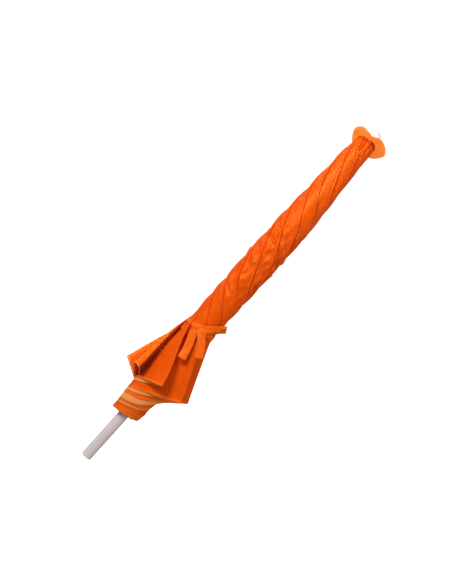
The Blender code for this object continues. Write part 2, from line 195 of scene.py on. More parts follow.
def inverse_smooth(value):
    """The share whose smoothstep is value."""
    value = min(max(value, 0.0), 1.0)
    return 0.5 - math.sin(math.asin(1 - 2 * value) / 3)


def along(profile, x):
    """Reads a smooth curve through (x, y) pairs listed from the highest x to the lowest."""
    points = profile[::-1]
    if x <= points[0][0]:
        return points[0][1]
    if x >= points[-1][0]:
        return points[-1][1]
    k = max(i for i in range(len(points) - 1) if points[i][0] <= x)
    (x1, y1), (x2, y2) = points[k], points[k + 1]
    x0, y0 = points[max(k - 1, 0)]
    x3, y3 = points[min(k + 2, len(points) - 1)]
    t = (x - x1) / (x2 - x1)
    slope_1 = (y2 - y0) / (x2 - x0) * (x2 - x1)
    slope_2 = (y3 - y1) / (x3 - x1) * (x2 - x1)
    h = 2 * t**3 - 3 * t**2
    return (h + 1) * y1 + (t**3 - 2 * t**2 + t) * slope_1 - h * y2 + (t**3 - t**2) * slope_2


def ripple(x, y, seed):
    """Smooth noise between about -1 and 1."""
    return noise.noise(Vector((x, y, seed * 7.31)))


def link(obj):
    bpy.context.scene.collection.objects.link(obj)
    return obj


def finish_mesh(name, mesh, materials, angle=40):
    for material in materials:
        mesh.materials.append(material)
    mesh.shade_smooth()
    mesh.set_sharp_from_angle(angle=math.radians(angle))
    return link(bpy.data.objects.new(name, mesh))


def grid(name, rows, materials, paint=None, wrap=False):
    """A skin over rows of points, with UVs in metres for the weave. paint gives a face's slot."""
    count = len(rows[0])
    points = [p for row in rows for p in row]
    faces = []
    slots = []
    for i in range(len(rows) - 1):
        for j in range(count if wrap else count - 1):
            n = (j + 1) % count
            faces.append((i * count + j, i * count + n, (i + 1) * count + n, (i + 1) * count + j))
            slots.append(paint(i, j) if paint else 0)
    mesh = bpy.data.meshes.new(name)
    mesh.from_pydata(points, [], faces)
    across = [[0.0] for _ in rows]
    for row, run in zip(rows, across):
        for a, b in zip(row, row[1:] + row[:1]):
            run.append(run[-1] + (b - a).length)
    down = [0.0]
    middle = count // 2
    for upper, lower in zip(rows, rows[1:]):
        down.append(down[-1] + (lower[middle] - upper[middle]).length)
    layer = mesh.uv_layers.new(name="UVMap")
    corner = 0
    for i in range(len(rows) - 1):
        for j in range(count if wrap else count - 1):
            for di, dj in ((0, 0), (0, 1), (1, 1), (1, 0)):
                layer.data[corner].uv = (across[i + di][j + dj], down[i + di])
                corner += 1
    mesh.polygons.foreach_set("material_index", slots)
    mesh.validate()
    return finish_mesh(name, mesh, materials)


def applied(obj):
    """Replaces an object's mesh by what its modifiers make of it."""
    bpy.context.view_layer.update()
    graph = bpy.context.evaluated_depsgraph_get()
    made = bpy.data.meshes.new_from_object(obj.evaluated_get(graph))
    obj.modifiers.clear()
    old = obj.data
    obj.data = made
    made.name = obj.name
    bpy.data.meshes.remove(old)
    return obj


def thicken(obj, thickness, offset=-1.0, rim=True):
    solidify = obj.modifiers.new("Cloth thickness", "SOLIDIFY")
    solidify.thickness = thickness
    solidify.offset = offset
    solidify.use_rim = rim
    return applied(obj)


def welded(obj, normals=False):
    """Joins the points of a mesh that lie on one another."""
    work = bmesh.new()
    work.from_mesh(obj.data)
    bmesh.ops.remove_doubles(work, verts=work.verts, dist=WELD)
    if normals:
        bmesh.ops.recalc_face_normals(work, faces=work.faces)
    work.to_mesh(obj.data)
    work.free()
    return obj


def lathe(name, profile, materials, steps=96):
    """A turned piece from (radius, height) pairs that run down its outside first."""
    rows = [[around(360 * j / steps, r, z) for j in range(steps)] for r, z in profile]
    obj = welded(grid(name, rows, materials, wrap=True), normals=True)
    obj.data.shade_smooth()
    obj.data.set_sharp_from_angle(angle=math.radians(40))
    return obj


def install(piece, slot, *nodes, flattens=False):
    """Puts a fixed piece in its nodes' place; wound cloth gets a mesh of its own."""
    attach(piece, "root")
    if flattens:
        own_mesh(piece)
    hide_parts(*nodes)


def rounded(centre, middle, radius, start, end, steps):
    """Points of an arc for a turned profile, angles in degrees from the horizontal."""
    for k in range(steps + 1):
        a = math.radians(mix(start, end, k / steps))
        yield centre + radius * math.cos(a), middle + radius * math.sin(a)


# ---------------------------------------------------------------- finishes


class NodeTree:
    """A short way to add and join shader nodes."""

    def __init__(self, name, colour):
        self.material = bpy.data.materials.new(name)
        self.material.use_nodes = True
        self.material.diffuse_color = (*colour, 1)
        self.tree = self.material.node_tree
        self.shader = self.tree.nodes["Principled BSDF"]

    def node(self, kind, **settings):
        made = self.tree.nodes.new(kind)
        for key, value in settings.items():
            if key in made.inputs:
                made.inputs[key].default_value = value
            else:
                setattr(made, key, value)
        return made

    def join(self, source, target):
        self.tree.links.new(source, target)

    def feed(self, name, source):
        self.join(source, self.shader.inputs[name])

    def set(self, **values):
        """Sets the surface's own inputs, with an underscore for each space in a name."""
        for name, value in values.items():
            self.shader.inputs[name.replace("_", " ")].default_value = value

    def noise(self, vector, scale, detail=3.0, distortion=0.0):
        made = self.node("ShaderNodeTexNoise", Scale=scale, Detail=detail, Distortion=distortion)
        self.join(vector, made.inputs["Vector"])
        return made.outputs["Fac"]

    def ramp(self, value, low, high, low_colour, high_colour):
        made = self.node("ShaderNodeValToRGB")
        made.color_ramp.elements[0].position = low
        made.color_ramp.elements[1].position = high
        made.color_ramp.elements[0].color = (*low_colour, 1)
        made.color_ramp.elements[1].color = (*high_colour, 1)
        self.join(value, made.inputs["Fac"])
        return made.outputs["Color"]

    def maths(self, operation, first, second):
        made = self.node("ShaderNodeMath", operation=operation)
        for socket, value in zip(made.inputs, (first, second)):
            if isinstance(value, (int, float)):
                socket.default_value = value
            else:
                self.join(value, socket)
        return made.outputs[0]

    def darkened(self, base, factor, mask):
        """Multiplies a colour by a mask, as far as factor says."""
        made = self.node("ShaderNodeMix", data_type="RGBA", blend_type="MULTIPLY", Factor=factor)
        self.join(base, made.inputs["A"])
        self.join(mask, made.inputs["B"])
        return made.outputs["Result"]

    def stretched(self, vector, scale):
        made = self.node("ShaderNodeMapping")
        made.inputs["Scale"].default_value = scale
        self.join(vector, made.inputs["Vector"])
        return made.outputs["Vector"]

    def bump(self, height, strength, distance, before=None):
        made = self.node("ShaderNodeBump", Strength=strength, Distance=distance)
        self.join(height, made.inputs["Height"])
        if before is not None:
            self.join(before, made.inputs["Normal"])
        return made.outputs["Normal"]


def shifted(colour, factor, lift=0.0):
    return tuple(min(1.0, max(0.0, c * factor + lift)) for c in colour)


def woven(name, colour, glow=0.0, pitch=1.1 * MM, sheen=0.11, soft=0.42):
    """Plain-weave polyester: threads, slubs and creasing; a glow, when given, is emission, painted
    light standing in for light soaking through it.
    """
    t = NodeTree(name, colour)
    uv = t.node("ShaderNodeUVMap", uv_map="UVMap").outputs["UV"]
    place = t.node("ShaderNodeTexCoord").outputs["Object"]
    threads = []
    for direction in ("X", "Y"):
        wave = t.node(
            "ShaderNodeTexWave",
            wave_type="BANDS",
            bands_direction=direction,
            Scale=1 / pitch / 6.2832 * 2,
            Distortion=0.6,
            Detail=1.0,
        )
        wave.inputs["Detail Scale"].default_value = 0.6
        t.join(uv, wave.inputs["Vector"])
        threads.append(wave.outputs["Fac"])
    weave = t.maths("MULTIPLY", *threads)
    cloudy = t.noise(place, 26, 4.0, 0.4)
    fine = t.noise(place, 420, 2.0)
    base = t.ramp(cloudy, 0.28, 0.74, shifted(colour, 0.90), shifted(colour, 1.06, 0.004))
    slubbed = t.darkened(base, 0.10, t.ramp(fine, 0.30, 0.70, (0.72, 0.66, 0.62), (1, 1, 1)))
    t.feed(
        "Base Color",
        t.darkened(slubbed, 0.10, t.ramp(weave, 0.0, 0.6, (0.55, 0.45, 0.40), (1, 1, 1))),
    )
    creased = t.bump(t.noise(place, 60, 5.0, 1.2), 0.14, 0.0016)
    t.feed("Normal", t.bump(weave, 0.18, 0.00025, creased))
    t.feed("Roughness", t.ramp(cloudy, 0.2, 0.8, (soft - 0.06,) * 3, (soft + 0.08,) * 3))
    t.set(Specular_IOR_Level=0.34, Specular_Tint=(1.0, 0.66, 0.14, 1))
    t.set(Sheen_Weight=sheen, Sheen_Roughness=0.45, Sheen_Tint=(1.0, 0.64, 0.11, 1))
    # Painted glow: the cloth emits light in its own colour, in place of light that soaks through it.
    if glow:
        t.set(Emission_Color=(*colour, 1), Emission_Strength=glow)
    return t.material


def moulded(name, colour, roughness=0.32):
    """Injection-moulded plastic with a fine grain and faint rubbed patches."""
    t = NodeTree(name, colour)
    place = t.node("ShaderNodeTexCoord").outputs["Object"]
    cloudy = t.noise(place, 45, 3.0)
    rubbed = (roughness - 0.05,) * 3, (roughness + 0.12,) * 3
    t.feed("Base Color", t.ramp(cloudy, 0.3, 0.75, shifted(colour, 0.95), shifted(colour, 1.03)))
    t.feed("Roughness", t.ramp(cloudy, 0.2, 0.8, *rubbed))
    t.feed("Normal", t.bump(t.noise(place, 1400, 2.0), 0.08, 0.0002))
    t.set(Coat_Weight=0.15)
    return t.material


def enamelled(name, colour):
    """Stove enamel on steel tube, a little uneven, with thin rub marks along it."""
    t = NodeTree(name, colour)
    place = t.node("ShaderNodeTexCoord").outputs["Object"]
    rubs = t.noise(t.stretched(place, (160, 160, 7)), 1.0, 4.0)
    cloudy = t.noise(place, 22, 3.0)
    t.feed("Base Color", t.ramp(cloudy, 0.3, 0.7, shifted(colour, 0.94), shifted(colour, 1.04)))
    t.feed("Roughness", t.ramp(rubs, 0.35, 0.75, (0.24,) * 3, (0.42,) * 3))
    t.feed("Normal", t.bump(cloudy, 0.05, 0.0004))
    t.set(Metallic=0.12, Coat_Weight=0.3, Coat_Roughness=0.15)
    return t.material


def plated(name, colour):
    """Zinc-plated steel drawn through a die, brushed along its length."""
    t = NodeTree(name, colour)
    place = t.node("ShaderNodeTexCoord").outputs["Object"]
    drawn = t.noise(t.stretched(place, (900, 900, 14)), 1.0, 3.0)
    bloom = t.noise(place, 70, 4.0)
    t.feed("Base Color", t.ramp(bloom, 0.3, 0.75, shifted(colour, 0.80), shifted(colour, 1.08)))
    t.feed("Roughness", t.ramp(drawn, 0.3, 0.7, (0.26,) * 3, (0.44,) * 3))
    t.feed("Normal", t.bump(drawn, 0.12, 0.0001))
    t.set(Metallic=1.0)
    return t.material


def backdrop(name, colour):
    """Matt studio paper, lit a little from within so that it stays white."""
    t = NodeTree(name, colour)
    t.set(Base_Color=(*colour, 1), Roughness=0.9, Specular_IOR_Level=0.1)
    t.set(Emission_Color=(1, 1, 1, 1), Emission_Strength=0.80)
    return t.material


# Each finish: what makes it, its material's name and its settings. Its colour goes by its own name.
FINISHES = {
    "canopy": (woven, "canopy_weave", {}),
    # band: the neck's top rows in darker cloth, painted shade under the rosette.
    "band": (woven, "bound_neck", {"sheen": 0.05}),
    "edge": (woven, "turned_edge", {}),
    "lining": (woven, "lining_weave", {}),
    # depth: the lining near each fold's root in darker cloth, painted shade in the crevices.
    "depth": (woven, "lining_depth", {"sheen": 0.05}),
    "hem": (woven, "hem_lining", {"soft": 0.62}),
    # The rosette glows: painted light for the daylight through the thin disc.
    "rosette": (woven, "rosette_weave", {"glow": 0.64}),
    "tie": (woven, "tie_weave", {"pitch": 0.9 * MM}),
    "plastic": (moulded, "white_moulding", {}),
    "pole": (enamelled, "pole_enamel", {}),
    "steel": (plated, "zinc_plate", {}),
    "floor": (backdrop, "studio_floor", {}),
}
MADE = {}


def finish(name):
    """The named finish in the panel's colours, made once."""
    if name not in MADE:
        maker, material, settings = FINISHES[name]
        MADE[name] = maker(material, getattr(bpy.context.scene.parasol_colours, name), **settings)
    return MADE[name]


# ---------------------------------------------------------------- settings


def colour_setting(name, what, default):
    return bpy.props.FloatVectorProperty(
        name=name,
        description=f"Colour of {what}",
        subtype="COLOR",
        size=3,
        min=0,
        max=1,
        default=default,
    )


def length_setting(name, description, default, least):
    return bpy.props.FloatProperty(
        name=name, description=description, unit="LENGTH", default=default, min=least
    )


class ParasolColours(bpy.types.PropertyGroup):
    canopy: colour_setting("Canopy", "the canopy's cloth", (0.84, 0.090, 0.0002))
    # Band: darker than the canopy, painted shade where the neck meets the rosette.
    band: colour_setting("Band", "the bound neck under the rosette", (0.50, 0.060, 0.001))
    edge: colour_setting("Edge", "the canopy's turned edge", (0.88, 0.135, 0.004))
    lining: colour_setting("Lining", "the cloth's reverse in the folds", (0.86, 0.130, 0.006))
    # Depth: the reverse made darker deep in the folds, painted shade.
    depth: colour_setting("Depth", "the reverse deep in the folds", (0.34, 0.036, 0.001))
    hem: colour_setting("Hem", "the cloth's reverse, seen along the hem", (0.88, 0.30, 0.085))
    rosette: colour_setting("Rosette", "the cloth disc under the finial", (0.98, 0.25, 0.035))
    tie: colour_setting("Tie", "the strap that holds the canopy closed", (0.92, 0.135, 0.006))
    plastic: colour_setting("Mouldings", "the finial, hub, runner and tips", (0.90, 0.89, 0.88))
    pole: colour_setting("Pole", "the pole's enamel", (0.76, 0.68, 0.66))
    steel: colour_setting("Ribs", "the plated ribs and stretchers", (0.66, 0.66, 0.68))
    floor: colour_setting("Floor", "the studio floor", (0.95, 0.95, 0.95))


class ParasolSizes(bpy.types.PropertyGroup):
    cloth: length_setting("Cloth", "Thickness of the canopy's cloth", 0.6 * MM, 0.0001)
    rosette: length_setting(
        "Rosette", "Radius of the cloth disc under the finial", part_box("rosette")[1][0], 0.02
    )
    strap: length_setting("Strap", "Width of the tie's strap", 19 * MM, 0.005)
    sag: length_setting("Sag", "How far an open panel sags between its ribs", 2.5 * MM, 0)


class ParasolLight(bpy.types.PropertyGroup):
    key: bpy.props.FloatProperty(
        name="Key", description="Power of the main soft light", default=32.0, min=0
    )
    fill: bpy.props.FloatProperty(
        name="Fill", description="Strength of the room's light", default=0.58, min=0
    )
    lean: bpy.props.FloatProperty(
        name="Lean",
        description="Angle at which the parasol leans in the picture",
        subtype="ANGLE",
        default=math.radians(42),
    )


# ---------------------------------------------------------------- stage


class PARASOL_OT_stage(bpy.types.Operator):
    """Set up the camera, the lights and the floor"""

    bl_idname = "parasol.stage"
    bl_label = "Studio"

    distance = 1.30
    view_height = 1.295
    # The view's height in steps, and how many steps left and up of the parasol's middle it aims.
    steps = 584
    aim_left, aim_up = 6, 2
    floor_radius = 6.0
    # Each soft light: place, aim, size, share of the key light's power, spread in degrees, and
    # whether shiny surfaces show it.
    soft_lights = {
        "key": ((-1.24, -1.44, 1.10), (0, 0, 0.48), (0.7, 0.7), 1.0, 180, True),
        "edge": ((-1.2, 1.1, 1.2), (0, 0, 0.5), (0.8, 0.8), 0.20, 180, False),
        "side": ((2.1, -0.5, 1.1), (0, 0, 0.45), (1.2, 1.2), 0.42, 180, False),
        "crown": ((-1.0, -1.3, 1.2), (-0.01, 0, 0.86), (0.3, 0.3), 0.0028, 15, True),
        "slit": ((-0.24, -1.2, 0.27), (-0.064, 0, 0.268), (0.036, 0.15), 0.0006, 3, True),
    }
    slit_tilt = -14

    def camera(self, light):
        data = bpy.data.cameras.new("camera")
        data.sensor_fit = "VERTICAL"
        data.angle_y = 2 * math.atan(self.view_height / 2 / self.distance)
        data.clip_end = 50
        camera = link(bpy.data.objects.new("camera", data))
        right = Vector((math.cos(light.lean), 0, math.sin(light.lean)))
        up = Vector((-math.sin(light.lean), 0, math.cos(light.lean)))
        step = self.view_height / self.steps
        aim = Vector((0, 0, TOP / 2)) - right * self.aim_left * step + up * self.aim_up * step
        turned = Matrix((right, up, Vector((0, -1, 0)))).transposed().to_4x4()
        camera.matrix_world = Matrix.Translation(aim - Vector((0, self.distance, 0))) @ turned
        bpy.context.scene.camera = camera

    def soft_light(self, name, power, place, target, size, share, spread, glossy):
        data = bpy.data.lights.new(name, "AREA")
        data.shape = "ELLIPSE"
        data.size, data.size_y = size
        data.energy = power * share
        data.spread = math.radians(spread)
        light = link(bpy.data.objects.new(name, data))
        light.location = place
        light.rotation_euler = (Vector(target) - Vector(place)).to_track_quat("-Z", "Y").to_euler()
        light.visible_glossy = glossy
        return light

    def air(self, scene, fill):
        """The room's light: stronger from above, faint in reflections, white to the camera."""
        world = bpy.data.worlds.new("studio_air")
        scene.world = world
        world.use_nodes = True
        nodes = world.node_tree.nodes

        def join(source, target):
            world.node_tree.links.new(source, target)

        def ranged(value, *limits):
            made = nodes.new("ShaderNodeMapRange")
            for name, limit in zip(("From Min", "From Max", "To Min", "To Max"), limits):
                made.inputs[name].default_value = limit
            join(value, made.inputs["Value"])
            return made

        ray = nodes.new("ShaderNodeLightPath").outputs
        height = nodes.new("ShaderNodeSeparateXYZ")
        join(nodes.new("ShaderNodeTexCoord").outputs["Generated"], height.inputs["Vector"])
        dusk = ranged(height.outputs["Z"], -0.5, 0.6, fill * 0.35, fill * 1.25)
        dulled = ranged(ray["Is Glossy Ray"], 0, 1, 1.0, 0.08)
        shade = nodes.new("ShaderNodeMath")
        shade.operation = "MULTIPLY"
        join(dusk.outputs["Result"], shade.inputs[0])
        join(dulled.outputs["Result"], shade.inputs[1])
        strength = ranged(ray["Is Camera Ray"], 0, 1, 0, 1.05)
        join(shade.outputs[0], strength.inputs["To Min"])
        tint = nodes.new("ShaderNodeMix")
        tint.data_type = "RGBA"
        tint.inputs["A"].default_value = (1.0, 0.92, 0.90, 1)
        tint.inputs["B"].default_value = (1, 1, 1, 1)
        join(ray["Is Camera Ray"], tint.inputs["Factor"])
        sky = nodes["Background"]
        join(tint.outputs["Result"], sky.inputs["Color"])
        join(strength.outputs["Result"], sky.inputs["Strength"])

    def execute(self, context):
        light = context.scene.parasol_light
        self.camera(light)
        for name, facts in self.soft_lights.items():
            made = self.soft_light(name, light.key, *facts)
            if name == "slit":
                made.rotation_euler.rotate_axis("Z", math.radians(self.slit_tilt))
        self.air(context.scene, light.fill)
        context.scene.view_settings.view_transform = "Standard"
        work = bmesh.new()
        bmesh.ops.create_circle(work, cap_ends=True, segments=64, radius=self.floor_radius)
        mesh = bpy.data.meshes.new("floor")
        work.to_mesh(mesh)
        work.free()
        mesh.materials.append(finish("floor"))
        floor = link(bpy.data.objects.new("floor", mesh))
        floor.location.z = -0.5 * MM
        floor.visible_diffuse = False
        floor.visible_glossy = False
        floor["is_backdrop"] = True
        return {"FINISHED"}


# ---------------------------------------------------------------- hard pieces


class PARASOL_OT_pole(bpy.types.Operator):
    """Make the enamelled pole and its foot plug"""

    bl_idname = "parasol.pole"
    bl_label = "Pole"

    def execute(self, context):
        r = POLE_RADIUS
        bevel = 0.4 * MM
        bore = r - 1.5 * MM
        fitted = bore - GAP
        tube = lathe(
            "pole_tube",
            [(r - bevel, POLE_HEAD), (r, POLE_HEAD - bevel)]
            + [(r, z * MM) for z in range(900, 0, -60)]
            + [
                (r, PLUG_RIM + 0.5 * MM),
                (r - 0.5 * MM, PLUG_RIM),
                (bore, PLUG_RIM),
                (bore, POLE_HEAD),
                (r - bevel, POLE_HEAD),
            ],
            [finish("pole")],
        )
        plug = lathe(
            "foot_plug",
            [(AXIS, 15 * MM), (bore - 1.5 * MM, 15 * MM), (fitted, 13 * MM), (fitted, 2.5 * MM)]
            + [(r - 0.3 * MM, 2.4 * MM)]
            + list(rounded(r - 1.4 * MM, 1.4 * MM, 1.4 * MM, 40, -90, 6))
            + [(0.004, 0.0), (0.0032, 1.2 * MM), (AXIS, 1.2 * MM)],
            [finish("plastic")],
        )
        install(tube, "pole_paint", "pole")
        install(plug, "white_plastic", "pole_plug")
        return {"FINISHED"}


class PARASOL_OT_finial(bpy.types.Operator):
    """Make the domed finial with its moulded neck and clamping rim"""

    bl_idname = "parasol.finial"
    bl_label = "Finial"

    def execute(self, context):
        low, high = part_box("finial")
        rim, foot = high[0], low[2]
        dome, flatness = 16.2 * MM, 0.97
        centre = TOP - dome * flatness
        angles = [math.radians(90 * k / 18) for k in range(1, 19)]
        bore, roof = POLE_RADIUS + GAP, POLE_HEAD + 0.4 * MM
        profile = [
            (AXIS, TOP),
            *((dome * math.sin(a), centre + flatness * dome * math.cos(a)) for a in angles),
            (dome, centre - 2.2 * MM),
            (dome - 0.5 * MM, centre - 2.8 * MM),
            (dome - 1.1 * MM, centre - 3.0 * MM),
            (dome - 1.3 * MM, centre - 5.0 * MM),
            (dome - 1.0 * MM, foot + 4 * MM),
            (dome + 0.6 * MM, foot + 2.6 * MM),
            (rim - 0.6 * MM, foot + 2 * MM),
            (rim, foot + 1.4 * MM),
            (rim, foot),
            (bore, foot),
            (bore, roof),
            (AXIS, roof),
        ]
        install(lathe("finial_cap", profile, [finish("plastic")]), "white_plastic", "finial")
        return {"FINISHED"}


class PARASOL_OT_fittings(bpy.types.Operator):
    """Give the hub, runner, ribs, stretchers, rivets and tips their finishes"""

    bl_idname = "parasol.fittings"
    bl_label = "Frame finishes"

    def execute(self, context):
        metal = ("rib_", "stretcher_", "joint_rivet", "crown_wire", "catch")
        for name, node in frame["nodes"].items():
            steel = name.startswith(metal) and not name.startswith("rib_tip")
            node.data.materials.clear()
            node.data.materials.append(finish("steel" if steel else "plastic"))
        return {"FINISHED"}


# ---------------------------------------------------------------- cloth


def fold_turn(k, height):
    """Turn of the k-th flap's free edge as it winds up the canopy, bunched a little to one side."""
    even = FIRST_FOLD_TURN + k * SECTOR - along(WINDING, height)
    turn = even
    for _ in range(6):
        turn = even + BUNCHING * math.sin(math.radians(turn - BUNCHED_AT))
    return turn + 1.2 * math.sin(height * 19 + k * 2.1) * smooth((height - WAIST) / 0.08)


class PARASOL_OT_wrap(bpy.types.Operator):
    """Wind the canopy's flaps up the pole from the tie to the crown"""

    bl_idname = "parasol.wrap"
    bl_label = "Wound canopy"

    rows = 280
    inset = 0.5 * MM
    foot = 0.352
    # Pleats that run down from the crown: turn, depth, lowest height, and how far they slant.
    pleats = (
        (-66, 2.6, 0.872, 6), (-46, 1.2, 0.880, 2), (-29, 4.0, 0.888, 27), (-1, 3.8, 0.890, 1),
        (30, 3.4, 0.897, 3), (52, 1.6, 0.905, 6), (85, 2.2, 0.890, 12), (112, 1.8, 0.900, 4),
        (150, 2.4, 0.888, 18), (186, 2.0, 0.900, 2), (214, 2.2, 0.893, 10), (250, 2.0, 0.890, 16),
    )
    pleat_top = 0.933
    # The flap's rolled lip: how far it reaches round and how far it stands out, as shares.
    lip = (
        (1.000, 1.0), (1.016, 0.90), (1.030, 0.58), (1.032, 0.15),
        (1.026, -0.35), (1.034, -0.66), (1.056, -0.46),
    )

    def gathers(self, turn, height):
        """The pleats' depth at a place near the crown."""
        depth = 0.0
        for start, deep, end, slant in self.pleats:
            if height < end:
                continue
            run = (self.pleat_top - height) / (self.pleat_top - end)
            off = (turn - start - slant * run + 180) % 360 - 180
            width = mix(6.0, 2.4, run)
            depth += 1.35 * deep * MM * math.exp(-((off / width) ** 2)) * (1 - run) ** 0.6
        return depth

    def wrinkles(self, turn, height, k, share):
        """Small creases: pleats at the crown, pulls above the tie and soft dents between."""
        side = math.sin(math.pi * min(1.0, share * 1.05)) ** 0.7
        lift = 0.45 * MM * ripple(turn / 17, height * 26, 3)
        lift += 0.55 * MM * side * ripple(share * 1.8 + k * 3, height * 9, 8)
        dents = smooth((height - 0.43) / 0.08) * smooth((0.73 - height) / 0.10)
        broad = ripple(share * 1.5 + k * 2.7, height * 42 + share * 1.5, 5) - 0.25
        fine = ripple(share * 2.9 + k, height * 82 - share * 2.2, 15)
        lift += dents * side * 7.0 * MM * broad
        lift += dents * side * 4.2 * MM * fine
        calm = smooth((height - 0.70) / 0.10)
        lift += calm * side * 1.3 * MM * ripple(share * 1.6 + k * 1.9, height * 11, 21)
        waist = smooth((0.435 - height) / 0.05)
        lift += waist * side * 0.8 * MM * math.sin(share * 11 + k)
        return lift - self.gathers(turn, height)

    def clear(self, point):
        """Keeps the cloth just outside the hub and the folded ribs."""
        out = math.hypot(point.x, point.y)
        least = HUB_RADIUS + 0.8 * MM
        if out < least:
            point.x *= least / out
            point.y *= least / out
        return point

    def flap(self, share):
        """How far the cloth stands out across one flap, from its tucked side to its free edge."""
        stitch = math.exp(-(((share - 0.86) / 0.030) ** 2))
        groove = math.exp(-((share / 0.13) ** 2))
        return WRAP_STEP * share**2.2 - 0.6 * MM * stitch - 1.3 * MM * groove

    def execute(self, context):
        across = 12
        shares = [j / (across - 1) * 0.76 + 0.068 for j in range(across)]
        shares += [0.838, 0.851, 0.860, 0.869, 0.882, 0.92, 0.965]
        rows = []
        head = WRAP_PROFILE[0][0]
        heights = [mix(head, self.foot, i / self.rows) for i in range(self.rows + 1)]
        for height in heights:
            radius = along(WRAP_PROFILE, height) - self.inset
            lean = Vector((along(WRAP_LEAN, height), along(NECK_SWELL, height), 0))
            calm = mix(0.35, 1.0, smooth((head - height) / 0.05))
            row = []
            for k in range(RIB_COUNT):
                edge = fold_turn(k, height)
                width = (edge - fold_turn(k - 1, height)) % 360
                for share in shares:
                    turn = edge - width * (1 - share)
                    stand = self.flap(share) * calm + self.wrinkles(turn, height, k, share)
                    row.append(self.clear(around(turn, radius + stand, height) + lean))
                for reach, lift in self.lip:
                    turn = edge + width * (reach - 1)
                    stand = WRAP_STEP * lift * calm + self.wrinkles(edge, height, k, 1.0)
                    row.append(self.clear(around(turn, radius + stand, height) + lean))
            rows.append(row)

        def paint(i, j):
            """Slot of a face: darker cloth, painted shade under the rosette, down to a wavy line,
            and the canopy below it.
            """
            return int((heights[i] - head) / MM > -9.5 - 2.5 * ripple(j / 3.1, 0, 6))

        finishes = [finish("canopy"), finish("band")]
        piece = grid("canopy_wrap", rows, finishes, paint=paint, wrap=True)
        thicken(piece, context.scene.parasol_sizes.cloth)
        install(piece, "canopy_cloth", "outer_wrap", flattens=True)
        return {"FINISHED"}


